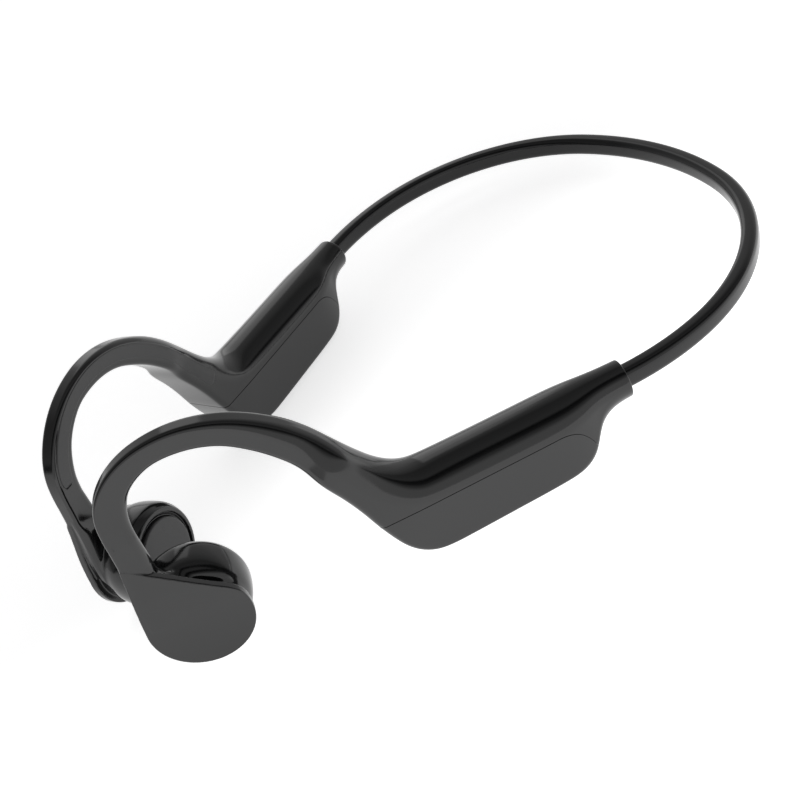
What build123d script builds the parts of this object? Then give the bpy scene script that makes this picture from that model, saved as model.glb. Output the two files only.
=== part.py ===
from build123d import *
from math import atan2, cos, radians, sin, sqrt
import os

# Bone conduction headphones: two mirrored ear pieces joined by a springy neckband.
# Millimetres. The design is drawn level: X = 0 is the mirror plane, +X is the wearer's
# left, +Y is the back of the head, and Z = 0 is the parting plane of the pods.
# At the end the whole set is tipped by REST_PITCH, so that it stands on its two
# transducers and on the rear corners of its pods, with the origin under its middle.

# ---- driving dimensions ------------------------------------------------------------
REST_PITCH = 5.0            # tip of the level design when it stands on a table

POD_FRONT = (29.6, 0.0, 0.0)    # front end of the parting line, middle of the pod
POD_TOE = 19.4              # pods close towards the front by this angle each
POD_HALF = 6.1              # half the pod's thickness
POD_CROWN = -0.4            # height where the rounded ridge starts
POD_FLOOR = -10.4           # underside of the pod
POD_FIRST = 0.4             # the constant section runs from here
POD_STRAIGHT = 34.0         # to here
POD_CORNER = 0.9            # rounding along the lower edges
NOSE_MIDDLE = (2.9, -6.6)   # a point on the pod's rounded lower front
NOSE_END = 10.0             # where that rounding meets the underside
SEAM_STRAIGHT = 36.0        # the parting line is level to here, then dips round the tail
SEAM_DIP = ((40.2, -2.0), (44.6, -8.0))
WALL = 1.2
INSIDE_CORNER = 0.8         # rounding inside the hollow pod
CAVITY_FIRST, CAVITY_LAST = 3.4, 36.5
ROOF_CAVITY_FLOOR = -3.0    # the upper half is hollowed from below its own rim
COVER_CAVITY_TOP = 2.0
COVER_NOSE = ((1.4, 1.0), (4.5, -6.3), 11.4)    # hollow of the cover's rounded front
COVER_CAVITY_START = 1.4
PAST = 2.0                  # cutting solids run this far past what they cut

SLEEVE_END = 51.5           # rear end of the sleeve that holds the neckband
SLEEVE_RADIUS = 3.7 
SLEEVE_HEIGHT = 1.15        # height of the sleeve's axis

DISC_CENTRE = (16.3, -33.7, -6.2)   # middle of the transducer's flat outer face
DISC_TOE = 27.9
DISC_RADIUS = 10.0
NECK = (-5.5, 16.5)         # where the hook grows out of the disc, in the disc's plane
NECK_RADIUS = 2.7
PLATE = 1.3                 # thickness of the disc's proud edge
PLATE_BACK = 2.7            # depth of the disc plate's rear face
BARREL_RADIUS = 10.4        # bulging transducer housing
HOUSING_DEPTH = 11.8
HOUSING_FRONT = 9.4         # radius of the housing where it meets the plate
HOUSING_WIDEST = 7.4        # depth of the bulge
HOUSING_REAR = 9.2          # radius of its rim on the head side
HOUSING_BORE = 9.0
HOUSING_LIP = (10.4, 9.8)   # depths of the lip that holds the suspension
SPIGOT = (8.9, 7.9, 1.5)    # ring on the plate that the housing is pressed over
TIER_INSET = 0.7
PAD_RADIUS = 7.4
PAD_DEPTH = 12.25           # from the outer face to the skin contact face
PAD_BACK = 10.4
PAD_EDGE = 0.35
PAD_STEM = 2.6              # radius of the stem that joins the pad to the spring
RING_RADIUS = 8.35
RING_DEPTHS = (10.5, 11.5)
SPRING_RADIUS = 8.6
SPRING_DEPTHS = (9.0, 9.25)
SPRING_SLOT = (4.2, 1.1, 5.6)   # length and width of a spring slot, and its radius
YOKE = (6.8, 6.1, 3.5, 8.2)     # radius, bore, floor depth and rim depth
MAGNET = (4.7, 7.4)         # radius and rear depth
COIL = (5.7, 5.0, 4.6)      # radius, bore and front depth

BAND_WIDTH = 3.5            # across, seen from above
BAND_HEIGHT = 4.3
BAND_LEVEL = 1.3            # height of the band's centre line
BAND_EXIT_ARC = 50.0
BAND_SIDE_ARC = 42.5
BAND_BACK_ARC = 66.0
BAND_CORNER = 1.4
BAND_SOCKET = 43.5          # the band reaches this far forward inside the sleeve
SOCKET_CORNER = 1.2
ANCHOR_LENGTH = 4.5
WIRE_RADIUS = 0.5
CABLE_RADIUS = 0.55
WIRE_OFFSET = 0.95          # memory wire above and cable below the centre line

BUTTON_TRAVEL_GAP = 0.4
BUTTON_STATIONS = (11.8, 17.6, 23.4)
BUTTON_LENGTH = 4.6
BUTTON_WIDTH = 2.8
BUTTON_PROUD = 0.5
BUTTON_EDGE = 0.3
FLANGE_LIP = 0.8            # the flange that keeps a button in is this much larger
FLANGE_THICKNESS = 0.5
STEM_RADIUS = 0.9
FIT = 0.12                  # clearance round a moving button
BOARD_TOP = -4.6
BOARD_THICKNESS = 0.8
BOARD = (7.0, 35.5, 4.5)    # first and last station and half width
SWITCH_HEIGHT = 1.6
SWITCH_HALF = 1.5
CHIPS = ((11.0, 17.0, 0.9, 3.0), (20.0, 24.0, 0.8, 2.0))   # stations, height, half width
MICROPHONES = ((25.8, 28.4), (29.4, 32.0))
MICROPHONE_HEIGHT, MICROPHONE_HALF = 1.0, 1.75
SCREW_STATIONS = (8.6, 33.8)
SCREW_HEAD, SCREW_HEAD_HEIGHT = 1.2, 0.7
SCREW_RADIUS, SCREW_LENGTH = 0.7, 3.6
POST_RADIUS, POST_HEIGHT, POST_BORE = 1.7, 4.2, 3.0
PORT_STATION = 31.8
PORT_LENGTH, PORT_WIDTH, PORT_HEIGHT = 6.4, 3.2, 1.9
PIN_RADIUS, PIN_HEIGHT, PIN_OFFSET = 0.8, 2.4, 1.4
LED_STATION = 27.3
LED_RADIUS, LED_HEIGHT = 0.6, 2.2
BATTERY = (9.0, 35.0, -2.0, 3.9)    # first and last station, top and half width
BATTERY_GAP = 0.4
BATTERY_BOARD = (9.5, 22.0, 0.2, 0.9, 3.6)
GASKET_WIDTH, GASKET_HEIGHT, GASKET_LEVEL = 0.6, 0.9, -1.35
GASKET_FIRST = 5.0

# ---- planes of the left ear piece ---------------------------------------------------
def upright_plane(origin, toe):
    """Vertical plane: local x runs backwards, local y up, its normal points outwards."""
    a = radians(toe)
    return Plane(origin=origin, x_dir=(sin(a), cos(a), 0), z_dir=(cos(a), -sin(a), 0))


POD = upright_plane(POD_FRONT, POD_TOE)
DISC = upright_plane(DISC_CENTRE, DISC_TOE)


def pod_station(u):
    """Cross-section plane of the pod, u behind its front; local x points to the head."""
    return Plane(origin=POD.from_local_coords((u, 0, 0)), x_dir=-POD.z_dir, z_dir=POD.x_dir)


def pod_floor_plane(v):
    """Horizontal plane at height v with local x along the pod."""
    return Plane(origin=POD.from_local_coords((0, v, 0)), x_dir=POD.x_dir, z_dir=(0, 0, 1))


def disc_plane(depth):
    """Plane parallel to the disc's outer face, this far towards the head."""
    return DISC.offset(-depth)


# ---- ear hook stations ---------------------------------------------------------------
# along, height and depth place the centre from the disc's centre; heading is the run's
# direction in the hook's plane; deep is the size in that plane and thick is across it;
# turn swings the section from the disc's plane towards the pod's.
HOOK = (
    # along height depth heading deep thick turn
    (-5.7, 11.0, 2.7, 90, 5.8, 3.4, 0),
    (-5.55, 20.5, 3.7, 89, 5.6, 3.3, 0),
    (-5.0, 26.2, 4.35, 76, 5.8, 3.3, 0),
    (-1.75, 31.6, 4.65, 49, 5.2, 3.3, 0),
    (4.75, 35.35, 4.7, 21, 4.7, 3.4, 0),
    (11.5, 36.0, 4.7, -4, 4.8, 3.7, 0),
    (18.9, 34.3, 4.7, -21, 5.1, 4.4, 0),
    (23.9, 31.4, 4.7, -30, 5.5, 5.3, 0),
    (28.4, 27.2, 4.7, -40, 6.0, 6.8, 0),
    (32.3, 22.6, 4.7, -50, 6.4, 8.2, 0),
    (35.6, 17.4, 4.6, -56, 7.0, 9.7, 2),
    (38.5, 12.1, 4.3, -54, 9.2, 11.0, 5),
    (41.2, 8.4, 4.1, -51, 12.0, 12.0, 8.5),
)
HOOK_CORNER = 0.7
INLAY_FIRST, INLAY_LAST = 1, 10     # hook stations between which the inlay strip runs
INLAY_WIDTH = 2.2
INLAY_DEPTH = 0.8
GROOVE_DEPTH = 1.5
FLEX_DEPTH = 0.3
FLEX_TOP = 1.0
INLAY_SINK = 0.02
FLEX_WIDTH = 1.4


def hook_plane(along, height, depth, heading, turn):
    a = radians(heading)
    centre = DISC.from_local_coords((along, height, -depth))
    back = upright_plane((0, 0, 0), DISC_TOE - turn)
    run = back.x_dir * cos(a) + back.y_dir * sin(a)
    return Plane(origin=centre, x_dir=-back.z_dir, z_dir=run)


def d_section(plane, half, crown, base, corner):
    """Flat sides, a half-round top that starts at crown, and small lower corners."""
    with BuildSketch(plane) as section:
        with BuildLine():
            l1 = Line((half - corner, base), (-half + corner, base))
            a1 = RadiusArc(l1 @ 1, (-half, base + corner), corner)
            l2 = Line(a1 @ 1, (-half, crown))
            a2 = ThreePointArc(l2 @ 1, (0, crown + half), (half, crown))
            l3 = Line(a2 @ 1, (half, base + corner))
            RadiusArc(l3 @ 1, l1 @ 0, corner)
        make_face()
    return section.sketch


def strip_section(plane, inner, outer, width, middle):
    """Rectangle between two distances from the section's centre line."""
    with BuildSketch(plane) as section:
        with Locations(((inner + outer) / 2, middle)):
            Rectangle(outer - inner, width)
    return section.sketch


def hook_strip(top, bottom, width, first, last):
    """Sections of a strip that lies below the hook's inner face."""
    rows = []
    for along, height, depth, heading, deep, thick, turn in HOOK[first:last + 1]:
        plane = hook_plane(along, height, depth, heading, turn)
        middle = HOOK_CORNER + width / 2 + 0.2 - deep / 2
        strip = strip_section(plane, thick / 2 - bottom, thick / 2 - top, width, middle)
        rows.append(strip.face())
    return rows


# ---- main frame: pod top, sleeve, ear hook and transducer plate in one moulding --------
# Boat tail: distance, half thickness, crown, underside and lower corner of each section.
TAIL = (
    (POD_STRAIGHT, POD_HALF, POD_CROWN, POD_FLOOR, POD_CORNER),
    (38.0, 5.7, -0.3, -9.9, 1.6),
    (41.0, 5.1, 0.1, -8.0, 2.4),
    (43.0, 4.6, 0.6, -5.4, 3.0),
    (46.0, 3.9, 1.0, -3.1, 3.4),
    (SLEEVE_END, SLEEVE_RADIUS, SLEEVE_HEIGHT, SLEEVE_HEIGHT - SLEEVE_RADIUS, 3.6),
)


def pod_blank():
    """Whole pod outside, top and bottom together."""
    first = d_section(pod_station(POD_FIRST), POD_HALF, POD_CROWN, POD_FLOOR, POD_CORNER)
    tail = [d_section(pod_station(row[0]), *row[1:]) for row in TAIL]
    with BuildPart() as blank:
        extrude(first, amount=POD_STRAIGHT - POD_FIRST, dir=POD.x_dir)
        loft([section.face() for section in tail])
        with BuildSketch(POD):
            with BuildLine():
                a1 = ThreePointArc((0.0, 0.0), NOSE_MIDDLE, (NOSE_END, POD_FLOOR))
                Polyline(a1 @ 1, (NOSE_END, POD_FLOOR - PAST), (-PAST, POD_FLOOR - PAST),
                         (-PAST, 0), a1 @ 0)
            make_face()
        extrude(amount=POD_HALF + PAST, both=True, mode=Mode.SUBTRACT)
    return blank.part


def below_parting():
    """Everything under the parting line, which dips round the tail."""
    bottom = POD_FLOOR - 2 * PAST
    with BuildPart() as region:
        with BuildSketch(POD):
            with BuildLine():
                l1 = Line((-2 * PAST, 0), (SEAM_STRAIGHT, 0))
                a1 = ThreePointArc(l1 @ 1, *SEAM_DIP)
                Polyline(a1 @ 1, (SEAM_DIP[1][0], bottom), (-2 * PAST, bottom), l1 @ 0)
            make_face()
        extrude(amount=POD_HALF + PAST, both=True)
    return region.part


def pod_cavity(first, last, roof, floor):
    section = d_section(pod_station(first), POD_HALF - WALL, roof, floor, INSIDE_CORNER)
    with BuildPart() as cavity:
        extrude(section, amount=last - first, dir=POD.x_dir)
    return cavity.part


def pod_box(u_first, u_last, v_low, v_high, half):
    """Box along the pod between two stations and two heights."""
    with BuildPart() as box:
        with BuildSketch(pod_floor_plane(v_low)):
            with Locations(((u_first + u_last) / 2, 0)):
                Rectangle(u_last - u_first, 2 * half)
        extrude(amount=v_high - v_low)
    return box.part


def hook_sections():
    rows = []
    for along, height, depth, heading, deep, thick, turn in HOOK:
        plane = hook_plane(along, height, depth, heading, turn)
        crown = (deep - thick) / 2
        rows.append(d_section(plane, thick / 2, crown, -deep / 2, HOOK_CORNER).face())
    return rows


POD_BLANK = pod_blank()
UNDER = below_parting()
CAVITY_FLOOR = POD_FLOOR + WALL
HOOK_SECTIONS = hook_sections()
GROOVE_SECTIONS = hook_strip(-PAST, GROOVE_DEPTH, INLAY_WIDTH, INLAY_FIRST, INLAY_LAST)
INLAY_SECTIONS = hook_strip(INLAY_SINK, INLAY_DEPTH, INLAY_WIDTH - 0.1, INLAY_FIRST, INLAY_LAST)
FLEX_SECTIONS = hook_strip(FLEX_TOP, FLEX_TOP + FLEX_DEPTH, FLEX_WIDTH, INLAY_FIRST, INLAY_LAST)

with BuildPart() as left_frame:
    add(POD_BLANK)
    loft(HOOK_SECTIONS)
    add(UNDER, mode=Mode.SUBTRACT)
    # transducer plate: proud teardrop edge, then a narrower tier behind it
    for depth, rise, inset in ((PLATE, PLATE, 0), (PLATE_BACK, PLATE_BACK - PLATE, TIER_INSET)):
        with BuildSketch(disc_plane(depth)):
            Circle(DISC_RADIUS - inset)
            with Locations(NECK):
                Circle(NECK_RADIUS - inset)
            make_hull()
        extrude(amount=rise)
    with BuildSketch(disc_plane(PLATE_BACK)):
        Circle(SPIGOT[0])
        Circle(SPIGOT[1], mode=Mode.SUBTRACT)
    extrude(amount=-SPIGOT[2])
    # hollow pod, open at the parting plane, and the socket of the neckband
    add(pod_cavity(CAVITY_FIRST, CAVITY_LAST, POD_CROWN, ROOF_CAVITY_FLOOR), mode=Mode.SUBTRACT)
    with BuildSketch(pod_station(CAVITY_LAST - 0.5)):
        with Locations((0, BAND_LEVEL)):
            RectangleRounded(BAND_WIDTH, BAND_HEIGHT, SOCKET_CORNER)
    extrude(amount=SLEEVE_END - CAVITY_LAST + 1, mode=Mode.SUBTRACT)
    # groove on the head side of the hook for the flex and its inlay
    loft(GROOVE_SECTIONS, mode=Mode.SUBTRACT)

with BuildPart() as left_pod_cover:
    add(POD_BLANK)
    add(UNDER, mode=Mode.INTERSECT)
    add(pod_cavity(CAVITY_FIRST + COVER_CAVITY_START, CAVITY_LAST, COVER_CAVITY_TOP,
                   CAVITY_FLOOR), mode=Mode.SUBTRACT)
    with BuildSketch(POD):
        with BuildLine():
            a1 = ThreePointArc(*COVER_NOSE[:2], (COVER_NOSE[2], CAVITY_FLOOR))
            Polyline(a1 @ 1, (COVER_NOSE[2], COVER_NOSE[0][1]), a1 @ 0)
        make_face()
    extrude(amount=POD_HALF - WALL, both=True, mode=Mode.SUBTRACT)

with BuildPart() as left_hook_inlay:
    loft(INLAY_SECTIONS)

with BuildPart() as left_hook_flex:
    loft(FLEX_SECTIONS)


# ---- bone conduction transducer -------------------------------------------------------
def disc_ring(outer, inner, depth, rear):
    """Ring or disc about the transducer's axis, from depth to rear towards the head."""
    with BuildPart() as ring:
        with BuildSketch(disc_plane(depth)):
            Circle(outer)
            if inner > 0:
                Circle(inner, mode=Mode.SUBTRACT)
        extrude(amount=depth - rear)
    return ring.part


BULGE_FRONT = ((10.2, -5.0), (BARREL_RADIUS, -HOUSING_WIDEST))
BULGE_REAR = ((10.0, -10.3), (HOUSING_REAR, -HOUSING_DEPTH))
AXIAL = Plane(origin=DISC_CENTRE, x_dir=DISC.x_dir, z_dir=-DISC.y_dir)

with BuildPart() as left_transducer_housing:
    with BuildSketch(AXIAL):
        with BuildLine():
            a1 = ThreePointArc((HOUSING_FRONT, -PLATE_BACK), *BULGE_FRONT)
            a2 = ThreePointArc(a1 @ 1, *BULGE_REAR)
            Polyline(a2 @ 1, (RING_RADIUS, -HOUSING_DEPTH), (RING_RADIUS, -HOUSING_LIP[0]),
                     (HOUSING_BORE, -HOUSING_LIP[1]), (HOUSING_BORE, -PLATE_BACK), a1 @ 0)
        make_face()
    revolve(axis=Axis(DISC_CENTRE, DISC.z_dir))

with BuildPart() as left_suspension_ring:
    add(disc_ring(RING_RADIUS, PAD_RADIUS, *RING_DEPTHS))

with BuildPart() as left_contact_pad:
    add(disc_ring(PAD_RADIUS, 0, PAD_BACK, PAD_DEPTH))
    skin_face = left_contact_pad.faces().sort_by(Axis(DISC_CENTRE, -DISC.z_dir))[-1]
    fillet(skin_face.edges(), PAD_EDGE)
    add(disc_ring(PAD_STEM, 0, SPRING_DEPTHS[1], PAD_BACK))

with BuildPart() as left_driver_spring:
    add(disc_ring(SPRING_RADIUS, 0, *SPRING_DEPTHS))
    with BuildSketch(disc_plane(SPRING_DEPTHS[0])):
        with PolarLocations(SPRING_SLOT[2], 4):
            SlotOverall(SPRING_SLOT[0], SPRING_SLOT[1], rotation=90)
    extrude(amount=-PAST, mode=Mode.SUBTRACT)

with BuildPart() as left_driver_yoke:
    add(disc_ring(YOKE[0], 0, PLATE_BACK, YOKE[2]))
    add(disc_ring(*YOKE))

with BuildPart() as left_driver_magnet:
    add(disc_ring(MAGNET[0], 0, YOKE[2], MAGNET[1]))

with BuildPart() as left_voice_coil:
    add(disc_ring(*COIL, SPRING_DEPTHS[0]))


# ---- inside the pods --------------------------------------------------------------------
with BuildPart() as left_seam_gasket:
    with BuildSketch(pod_floor_plane(GASKET_LEVEL)):
        with Locations(((GASKET_FIRST + CAVITY_LAST) / 2, 0)):
            length, width = CAVITY_LAST - GASKET_FIRST, 2 * (POD_HALF - WALL)
            RectangleRounded(length, width, 2 * GASKET_WIDTH)
            RectangleRounded(length - 2 * GASKET_WIDTH, width - 2 * GASKET_WIDTH, GASKET_WIDTH,
                             mode=Mode.SUBTRACT)
    extrude(amount=GASKET_HEIGHT)

with BuildPart() as left_wire_anchor:
    with BuildSketch(pod_station(BAND_SOCKET - ANCHOR_LENGTH)):
        with Locations((0, BAND_LEVEL)):
            RectangleRounded(BAND_WIDTH - FIT, BAND_HEIGHT - FIT, SOCKET_CORNER)
    extrude(amount=ANCHOR_LENGTH)

with BuildPart() as battery:
    add(pod_box(*BATTERY[:2], CAVITY_FLOOR + BATTERY_GAP, *BATTERY[2:]))
    fillet(battery.edges().filter_by(Axis(POD_FRONT, POD.x_dir)), 1.0)

with BuildPart() as battery_board:
    add(pod_box(*BATTERY_BOARD))


# ---- right ear piece: the mirror image, then its own holes ---------------------------------
def mirrored(piece):
    with BuildPart() as twin:
        add(piece.part)
        mirror(about=Plane.YZ, mode=Mode.REPLACE)
    return twin


MIRRORED_PIECES = {
    "frame": left_frame,
    "hook_inlay": left_hook_inlay,
    "hook_flex": left_hook_flex,
    "transducer_housing": left_transducer_housing,
    "suspension_ring": left_suspension_ring,
    "contact_pad": left_contact_pad,
    "driver_spring": left_driver_spring,
    "driver_yoke": left_driver_yoke,
    "driver_magnet": left_driver_magnet,
    "voice_coil": left_voice_coil,
    "seam_gasket": left_seam_gasket,
    "wire_anchor": left_wire_anchor,
}


def pill(v, rise, length, width, *stations):
    """Round-ended blocks standing on height v, on the left pod's side."""
    with BuildPart() as block:
        with BuildSketch(pod_floor_plane(v)):
            with Locations(*[(u, 0) for u in stations]):
                SlotOverall(length, width)
        extrude(amount=rise)
    return block.part


def peg(v, rise, radius, *stations):
    """Round pegs standing on height v, on the left pod's side."""
    with BuildPart() as block:
        with BuildSketch(pod_floor_plane(v)):
            with Locations(*[(u, 0) for u in stations]):
                Circle(radius)
        extrude(amount=rise)
    return block.part


PIN_STATIONS = (PORT_STATION - PIN_OFFSET, PORT_STATION + PIN_OFFSET)
SWITCH_BOTTOM = BOARD_TOP - BOARD_THICKNESS - SWITCH_HEIGHT

with BuildPart() as right_cover_as_left:
    add(left_pod_cover.part)
    add(pill(POD_FLOOR - PAST, 2 * PAST, BUTTON_LENGTH + 2 * FIT, BUTTON_WIDTH + 2 * FIT,
             *BUTTON_STATIONS), mode=Mode.SUBTRACT)
    add(pill(POD_FLOOR - PAST, 2 * PAST, PORT_LENGTH, PORT_WIDTH, PORT_STATION),
        mode=Mode.SUBTRACT)
    add(peg(POD_FLOOR - PAST, 2 * PAST, LED_RADIUS, LED_STATION), mode=Mode.SUBTRACT)


def button(station):
    """Cap through the floor, a flange that keeps it in, and a stem below its switch."""
    stem_top = SWITCH_BOTTOM - BUTTON_TRAVEL_GAP
    with BuildPart() as cap:
        add(pill(POD_FLOOR - BUTTON_PROUD, BUTTON_PROUD + WALL + FIT, BUTTON_LENGTH,
                 BUTTON_WIDTH, station))
        fillet(cap.faces().sort_by(Axis.Z)[0].edges(), BUTTON_EDGE)
        add(pill(CAVITY_FLOOR + FIT / 2, FLANGE_THICKNESS, BUTTON_LENGTH + FLANGE_LIP,
                 BUTTON_WIDTH + FLANGE_LIP, station))
        add(peg(CAVITY_FLOOR, stem_top - CAVITY_FLOOR, STEM_RADIUS, station))
    return cap


with BuildPart() as main_board:
    add(pod_box(*BOARD[:2], BOARD_TOP - BOARD_THICKNESS, BOARD_TOP, BOARD[2]))
    add(peg(BOARD_TOP - PAST, 2 * PAST, SCREW_RADIUS, *SCREW_STATIONS), mode=Mode.SUBTRACT)

with BuildPart() as bluetooth_chips:
    for first, last, height, half in CHIPS:
        add(pod_box(first, last, BOARD_TOP, BOARD_TOP + height, half))

with BuildPart() as microphones:
    for first, last in MICROPHONES:
        add(pod_box(first, last, BOARD_TOP, BOARD_TOP + MICROPHONE_HEIGHT, MICROPHONE_HALF))

with BuildPart() as tact_switches:
    for station in BUTTON_STATIONS:
        add(pod_box(station - SWITCH_HALF, station + SWITCH_HALF, SWITCH_BOTTOM,
                    SWITCH_BOTTOM + SWITCH_HEIGHT, SWITCH_HALF))

with BuildPart() as board_screws:
    under = BOARD_TOP - BOARD_THICKNESS
    add(peg(under - SCREW_HEAD_HEIGHT, SCREW_HEAD_HEIGHT, SCREW_HEAD, *SCREW_STATIONS))
    add(peg(under, SCREW_LENGTH, SCREW_RADIUS, *SCREW_STATIONS))

with BuildPart() as board_posts:
    add(peg(BOARD_TOP, POST_HEIGHT, POST_RADIUS, *SCREW_STATIONS))
    add(peg(BOARD_TOP, POST_BORE, SCREW_RADIUS, *SCREW_STATIONS), mode=Mode.SUBTRACT)

with BuildPart() as charge_port:
    add(pill(POD_FLOOR, PORT_HEIGHT, PORT_LENGTH, PORT_WIDTH, PORT_STATION))
    add(peg(POD_FLOOR - PAST, 3 * PAST, PIN_RADIUS, *PIN_STATIONS), mode=Mode.SUBTRACT)

with BuildPart() as charge_pins:
    add(peg(POD_FLOOR + FIT, PIN_HEIGHT, PIN_RADIUS, *PIN_STATIONS))

with BuildPart() as led_light_pipe:
    add(peg(POD_FLOOR, LED_HEIGHT, LED_RADIUS, LED_STATION))


# ---- neckband --------------------------------------------------------------------------------
def band_path(level):
    """Planar run of tangent arcs from inside one sleeve round the back to the other."""
    start = POD.from_local_coords((BAND_SOCKET, 0, 0))
    exit_point = POD.from_local_coords((SLEEVE_END, 0, 0))
    turn = radians(POD_TOE)
    side = (exit_point.X + BAND_EXIT_ARC * (1 - cos(turn)),
            exit_point.Y + BAND_EXIT_ARC * sin(turn))
    # the side arc is tangent to the back arc, whose centre lies on the mirror plane
    reach = side[0] - BAND_SIDE_ARC
    drop = sqrt((BAND_BACK_ARC - BAND_SIDE_ARC) ** 2 - reach ** 2)
    swing = atan2(drop, reach)
    join = (reach + BAND_SIDE_ARC * cos(swing), side[1] + BAND_SIDE_ARC * sin(swing))
    back = (0.0, side[1] - drop + BAND_BACK_ARC)
    half_swing = swing / 2
    middle = (reach + BAND_SIDE_ARC * cos(half_swing), side[1] + BAND_SIDE_ARC * sin(half_swing))
    quarter = turn / 2
    bend = (side[0] - BAND_EXIT_ARC * (1 - cos(quarter)), side[1] - BAND_EXIT_ARC * sin(quarter))
    with BuildLine(Plane.XY.offset(level)) as path:
        Line((start.X, start.Y), (exit_point.X, exit_point.Y))
        ThreePointArc((exit_point.X, exit_point.Y), bend, side)
        ThreePointArc(side, middle, join)
        ThreePointArc(join, back, (-join[0], join[1]))
        ThreePointArc((-join[0], join[1]), (-middle[0], middle[1]), (-side[0], side[1]))
        ThreePointArc((-side[0], side[1]), (-bend[0], bend[1]), (-exit_point.X, exit_point.Y))
        Line((-exit_point.X, exit_point.Y), (-start.X, start.Y))
    return path


def band_end(level):
    origin = POD.from_local_coords((BAND_SOCKET, 0, 0))
    return Plane(origin=(origin.X, origin.Y, level), x_dir=-POD.z_dir, z_dir=POD.x_dir)


with BuildPart() as neckband_skin:
    route = band_path(BAND_LEVEL)
    with BuildSketch(band_end(BAND_LEVEL)):
        RectangleRounded(BAND_WIDTH, BAND_HEIGHT, BAND_CORNER)
        with Locations((0, WIRE_OFFSET)):
            Circle(WIRE_RADIUS, mode=Mode.SUBTRACT)
        with Locations((0, -WIRE_OFFSET)):
            Circle(CABLE_RADIUS, mode=Mode.SUBTRACT)
    sweep(path=route.wires()[0])

with BuildPart() as memory_wire:
    route = band_path(BAND_LEVEL + WIRE_OFFSET)
    with BuildSketch(band_end(BAND_LEVEL + WIRE_OFFSET)):
        Circle(WIRE_RADIUS)
    sweep(path=route.wires()[0])

with BuildPart() as neckband_cable:
    route = band_path(BAND_LEVEL - WIRE_OFFSET)
    with BuildSketch(band_end(BAND_LEVEL - WIRE_OFFSET)):
        Circle(CABLE_RADIUS)
    sweep(path=route.wires()[0])


# ---- name every piece, stand the set on its rest plane and write it ----------------------------
pieces = {"left_" + name: piece.part for name, piece in MIRRORED_PIECES.items()}
pieces.update({"right_" + name: mirrored(piece).part for name, piece in MIRRORED_PIECES.items()})
pieces["left_pod_cover"] = left_pod_cover.part
pieces["right_pod_cover"] = mirrored(right_cover_as_left).part
pieces["battery"] = battery.part
pieces["battery_board"] = battery_board.part
RIGHT_ONLY = {
    "volume_down_button": button(BUTTON_STATIONS[0]),
    "multifunction_button": button(BUTTON_STATIONS[1]),
    "volume_up_button": button(BUTTON_STATIONS[2]),
    "main_board": main_board,
    "bluetooth_chips": bluetooth_chips,
    "microphones": microphones,
    "tact_switches": tact_switches,
    "board_screws": board_screws,
    "board_posts": board_posts,
    "charge_port": charge_port,
    "charge_pins": charge_pins,
    "led_light_pipe": led_light_pipe,
}
pieces.update({name: mirrored(piece).part for name, piece in RIGHT_ONLY.items()})
pieces["neckband_skin"] = neckband_skin.part
pieces["memory_wire"] = memory_wire.part
pieces["neckband_cable"] = neckband_cable.part

tip = Location((0, 0, 0), (-REST_PITCH, 0, 0))
tipped = {name: piece.moved(tip) for name, piece in pieces.items()}
boxes = [piece.bounding_box() for piece in tipped.values()]
front = min(box.min.Y for box in boxes)
back = max(box.max.Y for box in boxes)
lowest = min(box.min.Z for box in boxes)
stand = Location((0, -(front + back) / 2, -lowest))

os.makedirs("parts", exist_ok=True)
for name, piece in tipped.items():
    seated = piece.moved(stand)
    seated.label = name
    export_step(seated, "parts/" + name + ".step")
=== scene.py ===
import bpy
import bmesh
import numpy as np
from math import atan2, cos, pi, radians, sin, sqrt
from mathutils import Matrix, Vector


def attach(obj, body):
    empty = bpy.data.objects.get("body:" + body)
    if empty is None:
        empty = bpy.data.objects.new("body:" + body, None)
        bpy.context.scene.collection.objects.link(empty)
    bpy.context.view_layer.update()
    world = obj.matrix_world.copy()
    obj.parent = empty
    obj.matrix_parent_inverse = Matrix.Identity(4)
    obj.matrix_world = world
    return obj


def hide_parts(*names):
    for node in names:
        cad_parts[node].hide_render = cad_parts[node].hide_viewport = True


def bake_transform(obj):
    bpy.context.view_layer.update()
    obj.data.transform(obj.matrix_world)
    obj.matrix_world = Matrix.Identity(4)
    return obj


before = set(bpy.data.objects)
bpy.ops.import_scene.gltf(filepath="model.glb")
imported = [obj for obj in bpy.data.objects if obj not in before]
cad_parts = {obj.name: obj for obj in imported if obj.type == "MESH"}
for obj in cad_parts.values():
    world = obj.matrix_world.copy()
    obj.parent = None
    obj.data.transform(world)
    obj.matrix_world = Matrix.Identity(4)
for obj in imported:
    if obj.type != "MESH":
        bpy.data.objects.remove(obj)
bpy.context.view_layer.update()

MM = 0.001
REST_PITCH = radians(5.0)
REST_SHIFT = (-33.6596, 13.9859)

# ---- the level frame of the design, and the two upright planes of an ear piece -------------


class Upright:
    """Vertical plane: u runs backwards, v up, w outwards. Level millimetres, left side."""

    def __init__(self, origin, toe):
        a = radians(toe)
        self.o = np.array(origin, float)
        self.m = np.array(((sin(a), cos(a), 0), (0, 0, 1), (cos(a), -sin(a), 0)), float)

    def level(self, p):
        return self.o + np.asarray(p, float) @ self.m

    def local(self, p):
        return (np.asarray(p, float) - self.o) @ self.m.T


POD = Upright((29.6, 0.0, 0.0), 19.4)
DISC = Upright((16.3, -33.7, -6.2), 27.9)


def row_frame(p, side):
    """Level millimetres of the left ear piece to the row frame in metres."""
    x, y, z = np.asarray(p, float).T
    c, s = cos(REST_PITCH), sin(REST_PITCH)
    return np.stack((side * x, y * c + z * s + REST_SHIFT[0],
                     -y * s + z * c + REST_SHIFT[1]), 1) * MM


def turn_normal(n, side):
    x, y, z = np.asarray(n, float).T
    c, s = cos(REST_PITCH), sin(REST_PITCH)
    return np.stack((side * x, y * c + z * s, -y * s + z * c), 1)


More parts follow.
